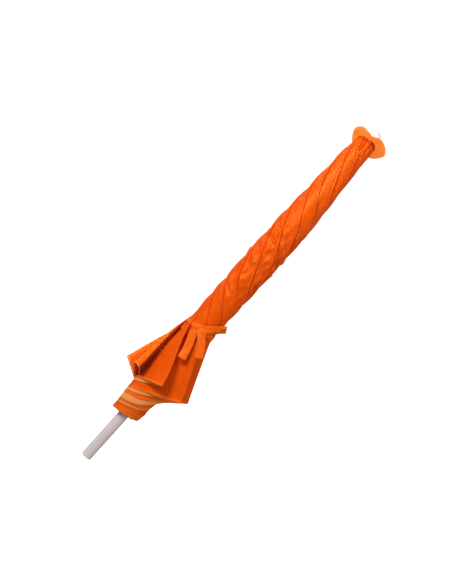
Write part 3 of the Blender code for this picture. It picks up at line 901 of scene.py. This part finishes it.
class PARASOL_OT_folds(bpy.types.Operator):
    """Hang eight flared folds of two layers below the tie; their hems wind on down the body"""

    bl_idname = "parasol.folds"
    bl_label = "Flared folds"

    rows = 26
    hem_rows = 4
    hem_width = 6.0 * MM
    columns = 22
    tail_columns = 22

    def sides(self, k, down):
        """Turn and radius of the fold's root and of its free edge, at a share of the way down."""
        corner, reach = FOLDS[k][:2]
        flare = FOLDS[k][8]
        top = fold_turn(k, FOLD_HEAD)
        corner += round((top + 48 - corner) / 360) * 360
        edge = corner - (corner - top) * (1 - down) ** 1.7
        root = edge - mix(FOLD_SPAN * 0.66, FOLD_SPAN, down)
        body = along(WRAP_PROFILE, FOLD_HEAD)
        inner = mix(body - 1.0 * MM, BODY_RADIUS, down)
        return root, inner, edge, mix(body + WRAP_STEP, reach, down**flare)

    def hem(self, k, place):
        """Height of the hem at a place that runs from 1 at the corner by 0 to -1 at the tail."""
        _, _, corner, join, half_turn, end, _, _, _ = FOLDS[k]
        if place > 0:
            return mix(join, corner, place)
        return along(((0.5, mix(join, corner, 0.5)), (0, join), (-0.5, half_turn), (-1, end)), place)

    def heights(self, k, place, depth):
        """Heights of a layer's rows from its head to its hem, the last few along the turned hem."""
        lining = FOLDS[k][6]
        low = self.hem(k, place)
        head = mix(low + 26 * MM, FOLD_HEAD, smooth((place + 0.14) / 0.26))
        if depth:
            near, far = smooth((0.97 - place) / 0.15), smooth((0.72 - place) / 0.6)
            shown = lining * (0.25 * near + 0.75 * far)
            last = low + 3 * MM
            steps = range(1, self.hem_rows + 1)
            cuts = [mix(last, low - shown, step / self.hem_rows) for step in steps]
        else:
            cuts = [low + cut * self.hem_width for cut in (0.93, 0.55, 0.15, 0.0)]
            last = low + self.hem_width
        return [mix(head, last, i / self.rows) for i in range(self.rows + 1)] + cuts

    def point(self, k, place, height, depth):
        """A point of the outer layer (depth 0) or of the lining (depth 1)."""
        gap = FOLDS[k][7]
        low = self.hem(k, place)
        down = min(1.0, (FOLD_HEAD - height) / (FOLD_HEAD - low))
        root, body, edge, reach = self.sides(k, down)
        if place < 0:
            behind = -place * FOLD_TAIL
            radius = mix(body, BODY_RADIUS, smooth(-place * 4)) - LAYER * behind / SECTOR
            radius -= 0.035 * max(0.0, 0.175 - height) + depth * 0.5 * LAYER
            rucks = 0.35 * MM * ripple(place * 9 + k, height * 60, 7) * smooth(-place * 5)
            return around(root - behind, radius + rucks, height)
        bend = math.degrees(math.acos(min(1.0, body / reach)))
        span = max(edge - root, bend + 1)
        straight = math.sqrt(reach**2 - body**2)
        arc = body * math.radians(span - bend)
        run = place * (straight + arc)
        turned = 0.45 * MM * smooth((low + self.hem_width - height) / (0.5 * MM)) * (1 - depth)
        if run < arc:
            turn = edge - span + math.degrees(run / body)
            radius = body + LAYER * (turn - edge + span) / SECTOR
            return around(turn, radius + turned - depth * 0.5 * LAYER, height)
        share = (run - arc) / straight
        foot = around(edge - bend, body + LAYER * (span - bend) / SECTOR, 0)
        tip = around(edge, reach, 0)
        chord = tip - foot
        out = Vector((chord.y, -chord.x, 0)).normalized()
        belly = math.sin(math.pi * share) * down
        swell = belly * (1.5 + 2.6 * ripple(share * 2.4 + k * 1.7, down * 1.6, 4)) * MM
        swell += belly * 1.0 * MM * ripple(share * 6.0 + k, down * 2.4, 9)
        waves = math.sin(share * 20 + k * 1.3)
        swell += (1 - down) ** 2 * 0.9 * MM * waves * math.sin(math.pi * share)
        apart = mix(1.2 * MM, gap, down**1.4)
        nose = apart / 2 / max(chord.length, 0.02)
        if share > 1 - nose:
            apart *= math.sqrt(max(0.0, 1 - ((share - 1 + nose) / nose) ** 2))
        apart = mix(0.5 * LAYER, apart, smooth(share / 0.4))
        stand = out * (swell + turned - depth * apart)
        return foot.lerp(tip, share) + stand + Vector((0, 0, height))

    def execute(self, context):
        tail = [-1 + j / self.tail_columns for j in range(self.tail_columns)]
        blade = [1 - (1 - j / self.columns) ** 1.4 for j in range(self.columns + 1)]
        places = tail + blade[:-1] + [1 - 0.014, 1 - 0.007, 1 - 0.002, 1.0]
        outer_count = len(places) - 1

        def paint(i, j):
            """Slot of a face: cloth and its edge outside; lining, lining darkened as painted shade
            near the root, and hem inside.
            """
            if j < outer_count + 3:
                return (0, 2)[i >= self.rows]
            if i >= self.rows:
                return 1
            return 4 if places[2 * outer_count - j] < deep else 3

        def layer(k, depth, places):
            heights = ((place, self.heights(k, place, depth)) for place in places)
            return [[self.point(k, place, z, depth) for z in column] for place, column in heights]

        for k in range(RIB_COUNT):
            # Lining nearer the root than this share gets painted shade; in the fold whose layers
            # stand widest apart, nearly all of it.
            deep = 0.95 if FOLDS[k][7] > 10 * MM else 0.62
            skin = layer(k, 0, places) + layer(k, 1, places[:-1])[::-1]
            piece = grid(
                f"fold_{k + 1}",
                [list(row) for row in zip(*skin)],
                [finish(name) for name in ("canopy", "hem", "edge", "lining", "depth")],
                paint=paint,
            )
            thicken(piece, context.scene.parasol_sizes.cloth, offset=0.0)
            install(piece, "canopy_cloth", "flared_folds", flattens=True)
        return {"FINISHED"}


class PARASOL_OT_hem(bpy.types.Operator):
    """Gather the innermost turn of the hem in round the rib tips"""

    bl_idname = "parasol.hem"
    bl_label = "Gathered hem"

    columns = 160
    rows = 26

    def execute(self, context):
        rows = []
        for i in range(self.rows + 1):
            share = i / self.rows
            row = []
            for j in range(self.columns):
                turn = 360 * j / self.columns
                a = math.radians(turn)
                foot = HEM_FOOT + (5.5 + 3.2 * math.cos(a) + 4.8 * math.sin(a)) * MM
                height = mix(HEM_HEAD + 8 * MM, foot, share)
                wander = 2 * ripple(turn / 25, share * 2, 3)
                pleat = 0.5 * MM * math.sin(math.radians(turn * 22) + wander)
                radius = mix(31.9 * MM, 31.3 * MM, share) + pleat * smooth(share * 2)
                radius += 0.5 * MM * smooth((share - 0.93) / 0.02)
                row.append(around(turn, radius, height))
            rows.append(row)
        piece = grid(
            "hem_gathers",
            rows,
            [finish("canopy"), finish("edge")],
            paint=lambda i, j: int(i >= self.rows - 2),
            wrap=True,
        )
        thicken(piece, context.scene.parasol_sizes.cloth)
        install(piece, "hem_cloth", "gathered_hem", flattens=True)
        return {"FINISHED"}


class PARASOL_OT_tie(bpy.types.Operator):
    """Knot the strap round the waist and hang its loose ends"""

    bl_idname = "parasol.tie"
    bl_label = "Tie"

    def strip(self, name, path, faces, width, taper=0.55):
        """A stitched strap along points, each with the direction that its face looks."""
        steps = 26
        threads = 12
        rows = []
        knots = list(zip(path, faces))
        for i in range(steps + 1):
            place = i / steps * (len(knots) - 1)
            k = min(int(place), len(knots) - 2)
            share = place - k
            before, here, after, beyond = (
                Vector(knots[min(max(k + d, 0), len(knots) - 1)][0]) for d in (-1, 0, 1, 2)
            )
            centre = 0.5 * (
                2 * here
                + (after - before) * share
                + (2 * before - 5 * here + 4 * after - beyond) * share**2
                + (3 * here - before - 3 * after + beyond) * share**3
            )
            heading = (after - before).lerp(beyond - here, share).normalized()
            face = Vector(knots[k][1]).lerp(Vector(knots[k + 1][1]), share).normalized()
            across = heading.cross(face).normalized()
            face = across.cross(heading).normalized()
            half = width / 2 * mix(taper, 1.0, smooth(i / steps * 3.2))
            row = []
            for j in range(threads + 1):
                side = -1 + 2 * j / threads
                seam = 0.35 * MM * (abs(abs(side) - 0.80) < 0.10)
                curl = 1.3 * MM * side * side * math.sin(i / steps * 5 + 1)
                slub = 1.9 * MM * ripple(i / 3.4, side * 1.1, len(name)) * smooth(i / 5)
                row.append(centre + across * side * half + face * (curl + slub - seam))
            rows.append(row)
        hems = (0, threads - 1)
        piece = grid(name, rows, [finish("tie"), finish("edge")], paint=lambda i, j: int(j in hems))
        return thicken(piece, 1.7 * MM, offset=0.0)

    def execute(self, context):
        width = context.scene.parasol_sizes.strap
        body = along(WRAP_PROFILE, WAIST)
        rows = []
        around_band = 120
        for share in (0, 0.06, 0.14, 0.2, 0.5, 0.8, 0.86, 0.94, 1):
            seam = share in (0.14, 0.86)
            row = []
            for j in range(around_band):
                turn = 360 * j / around_band
                front = math.cos(math.radians(turn + 10))
                half = mix(7.5, 5.0, smooth(front)) * MM
                tilt = 2.0 * MM * math.sin(math.radians(turn - 20))
                height = WAIST + 0.5 * MM + (0.5 - share) * 2 * half + tilt
                puff = 1.0 * MM * math.sin(math.pi * share) - 0.4 * MM * seam
                ruck = 0.5 * MM * ripple(turn / 9, share * 4, 4)
                row.append(around(turn, body + 2.6 * MM + puff + ruck, height))
            rows.append(row)
        band = grid("tie_band", rows, [finish("tie")], wrap=True)
        thicken(band, 1.6 * MM, offset=0.0)
        knot_at = Vector((-0.0085, -0.0385, WAIST + 1.0 * MM))
        # Each loose end: its path from the knot in mm, where its face looks, and its share of width.
        ends = {
            "tie_end_up": (
                ((-2, 0, 0), (8, -1.5, 2), (21, 1.0, 10), (37, 8, 23), (52, 16, 36.5)),
                ((0, -1, 0), (0, -1, 0), (0.3, -0.95, 0), (0.6, -0.8, 0), (0.7, -0.7, 0)),
                0.95,
            ),
            "tie_end_side": (
                ((3, -3.0, 0), (14, -6.0, -2), (25, -7, -13), (37, -8, -29), (48, -10, -47)),
                (
                    (0, -1, 0), (0.1, -1, 0.1), (0.2, -0.96, 0.2),
                    (0.3, -0.95, 0.15), (0.35, -0.9, 0.2),
                ),
                1.0,
            ),
            "tie_end_down": (
                ((-2, -2.0, -2), (2, -5.0, -13), (9, -9.0, -30), (15, -14, -50), (19.5, -20, -70)),
                (
                    (0, -1, 0), (0.15, -1, 0.15), (0.1, -0.97, 0.22),
                    (0, -0.96, 0.25), (0.05, -0.95, 0.3),
                ),
                0.95,
            ),
        }
        loose = [
            self.strip(name, [knot_at + Vector(p) * MM for p in path], faces, width * share)
            for name, (path, faces, share) in ends.items()
        ]
        knot = self.knot(knot_at)
        for piece in (band, knot, *loose):
            install(piece, "tie_cloth", "tie_strap", flattens=True)
        return {"FINISHED"}

    def knot(self, centre):
        """The half knot: a bundled lump of strap with folds running over it."""
        rows = []
        size = Vector((9.5, 6.0, 8.0))
        for i in range(25):
            lat = math.pi * (i / 24 - 0.5)
            row = []
            for j in range(40):
                a = 2 * math.pi * j / 40
                x, y, z = math.cos(lat) * math.cos(a), math.cos(lat) * math.sin(a), math.sin(lat)
                folds = 1 + 0.10 * math.sin(z * 9 + x * 5) + 0.08 * ripple(x * 2.5, z * 3, 2)
                row.append(centre + Vector((x * size.x, y * size.y, z * size.z)) * MM * folds)
            rows.append(row)
        return welded(grid("tie_knot", rows[::-1], [finish("tie")], wrap=True))


class PARASOL_OT_rosette(bpy.types.Operator):
    """Ruffle the cloth disc that the finial clamps over the crown"""

    bl_idname = "parasol.rosette"
    bl_label = "Rosette"

    def rim(self, turn, column):
        """The rim's radius or height at a turn, on a smooth curve through its listed points."""
        turns = [entry[0] for entry in RUFFLE]
        turn = (turn - turns[0]) % 360 + turns[0]
        before = [(t - 360, *rest) for t, *rest in RUFFLE[-2:]]
        after = [(t + 360, *rest) for t, *rest in RUFFLE[:3]]
        ring = before + list(RUFFLE) + after
        return along(tuple((entry[0], entry[column]) for entry in ring[::-1]), turn)

    def execute(self, context):
        sizes = context.scene.parasol_sizes
        inner = POLE_RADIUS + 0.3 * MM
        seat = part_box("rosette")[0][2] + 1.0 * MM
        scale = sizes.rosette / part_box("rosette")[1][0]
        rows = []
        rings, columns = 28, 168
        for i in range(rings + 1):
            share = i / rings
            row = []
            for j in range(columns):
                turn = 360 * j / columns
                radius = mix(inner, self.rim(turn, 1) * scale, share)
                height = mix(seat, self.rim(turn, 2), share**1.5)
                height += 3.2 * MM * math.sin(math.pi * min(1.0, share * 1.1)) * (1 - 0.5 * share)
                fold = math.sin(math.radians(turn * 3 + 30))
                fold += 0.7 * math.sin(math.radians(turn * 5 - 70))
                height += 1.2 * MM * fold * math.sin(math.pi * share)
                height += 0.45 * MM * ripple(turn / 9, share * 3, 5) * share
                height += 0.5 * MM * smooth((share - 0.93) / 0.02)
                row.append(around(turn, radius, height))
            rows.append(row)
        piece = grid("rosette_disc", rows, [finish("rosette")], wrap=True)
        thicken(piece, sizes.cloth, offset=0.0)
        install(piece, "rosette_cloth", "rosette")
        return {"FINISHED"}


class PARASOL_OT_panels(bpy.types.Operator):
    """Sew the eight panels that lie folded inside the wrap, with a seam tape on each rib"""

    bl_idname = "parasol.panels"
    bl_label = "Folding panels"

    rows = 26
    columns = 20
    hem_rows = 2
    hem = 9 * MM
    start_at = 0.012

    def execute(self, context):
        sag = context.scene.parasol_sizes.sag
        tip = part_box("rib_tip_1")
        lean = math.asin((tip[0][0] + tip[1][0]) / 2 / RIB_LENGTH - CROWN.x / RIB_LENGTH)
        onward = Matrix.Rotation(math.radians(SECTOR), 3, "Z")
        for k in range(RIB_COUNT):
            number = k + 1
            rib = JOINTS[f"rib_{number}_hinge"]
            spread = JOINTS[f"panel_{number}_spread"]
            angle = math.radians(spread["range_deg"][1])
            out = Vector(spread["axis"]).normalized()
            start = Vector(rib["pos_m"])
            centre = Vector(spread["pos_m"])
            turn = math.atan2(start.y, start.x)
            level = Vector((math.cos(turn), math.sin(turn), 0))
            down = Vector((math.sin(lean) * level.x, math.sin(lean) * level.y, -math.cos(lean)))
            over = out.cross(down).normalized()
            down = over.cross(out).normalized()
            next_start = onward @ start
            next_down = onward @ down
            far = next_start - out * (next_start - start).dot(out)
            far_down = (next_down - out * next_down.dot(out)).normalized()
            wide = (far - start).dot(over)
            piece = self.panel(number, start, down, over, out, far, far_down, wide, angle, sag)
            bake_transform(piece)
            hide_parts(f"panel_{number}_near", f"panel_{number}_far")
            tape = self.tape(number, start, turn, lean)
            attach(tape, f"rib_{number}")
        return {"FINISHED"}

    def panel(self, number, start, down, over, out, far, far_down, wide, angle, sag):
        """A panel laid flat between its ribs, cut to the taut sector of its joint's widest spread.
        """
        length = RIB_LENGTH + 1 * MM
        half = angle / 2
        rows = []
        edge = self.rows - self.hem_rows
        for i in range(self.rows + 1):
            if i <= edge:
                run = mix(self.start_at, length - self.hem, i / edge)
            else:
                run = mix(length - self.hem, length, (i - edge) / self.hem_rows)
            row = []
            for j in range(self.columns + 1):
                weight = j / self.columns
                arch = math.sin(math.pi * weight)
                reach = run * math.cos(half) / math.cos(weight * angle - half)
                reach *= 1 - 0.022 * arch * (run / length) ** 3
                drop = sag * arch * math.sin(math.pi * min(run / length, 0.93) / 1.15)
                lift = out * (CLOTH_OFFSET - drop)
                if j == self.columns:
                    place = far + far_down * reach + over * GAP
                else:
                    side = inverse_smooth(weight) * wide - (GAP if j == 0 else 0)
                    place = start + down * reach + over * side
                row.append(place + lift)
            rows.append(row)
        return grid(
            f"panel_cloth_{number}",
            rows,
            [finish("canopy"), finish("hem")],
            paint=lambda i, j: int(i >= edge),
        )

    def tape(self, number, start, turn, lean):
        """The bound seam that runs down a rib between two panels."""
        out = Vector((math.cos(turn), math.sin(turn), 0))
        side = Vector((-math.sin(turn), math.cos(turn), 0))
        down = out * math.sin(lean) - Vector((0, 0, math.cos(lean)))
        rows = []
        half_width = 3.2 * MM
        for i in range(41):
            run = mix(self.start_at, RIB_LENGTH, i / 40)
            row = []
            for j in range(5):
                share = j / 4 * 2 - 1
                stand = CLOTH_OFFSET + (0.9 - 0.5 * share**2) * MM
                row.append(start + down * run + side * share * half_width + out * stand)
            rows.append(row)
        return grid(f"seam_tape_{number}", rows, [finish("hem")])


# ---------------------------------------------------------------- add-on


class PARASOL_PT_panel(bpy.types.Panel):
    """Sizes, colours and lights of the parasol, and a button for each of its parts"""

    bl_idname = "PARASOL_PT_panel"
    bl_label = "Parasol"
    bl_space_type = "VIEW_3D"
    bl_region_type = "UI"
    bl_category = "Parasol"

    def draw(self, context):
        layout = self.layout
        for group in (getattr(context.scene, name) for name in GROUPS):
            column = layout.column()
            for name in group.bl_rna.properties.keys():
                if name not in ("rna_type", "name"):
                    column.prop(group, name)
        for operator in OPERATORS:
            layout.operator(operator.bl_idname)


OPERATORS = (
    PARASOL_OT_stage,
    PARASOL_OT_fittings,
    PARASOL_OT_pole,
    PARASOL_OT_finial,
    PARASOL_OT_rosette,
    PARASOL_OT_wrap,
    PARASOL_OT_folds,
    PARASOL_OT_hem,
    PARASOL_OT_tie,
    PARASOL_OT_panels,
)
GROUPS = {
    "parasol_sizes": ParasolSizes,
    "parasol_colours": ParasolColours,
    "parasol_light": ParasolLight,
}


def register():
    for made in (*GROUPS.values(), *OPERATORS, PARASOL_PT_panel):
        bpy.utils.register_class(made)
    for name, group in GROUPS.items():
        setattr(bpy.types.Scene, name, bpy.props.PointerProperty(type=group))


def unregister():
    for name in GROUPS:
        delattr(bpy.types.Scene, name)
    for made in (PARASOL_PT_panel, *OPERATORS[::-1], *GROUPS.values()):
        bpy.utils.unregister_class(made)


def main():
    register()
    for operator in OPERATORS:
        getattr(bpy.ops.parasol, operator.bl_idname.split(".")[1])()
    boxes = {"cad": CAD_BOX, "visual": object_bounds()}
    plain = {name: [[float(x) for x in corner] for corner in box] for name, box in boxes.items()}


if __name__ == "__main__":
    main()
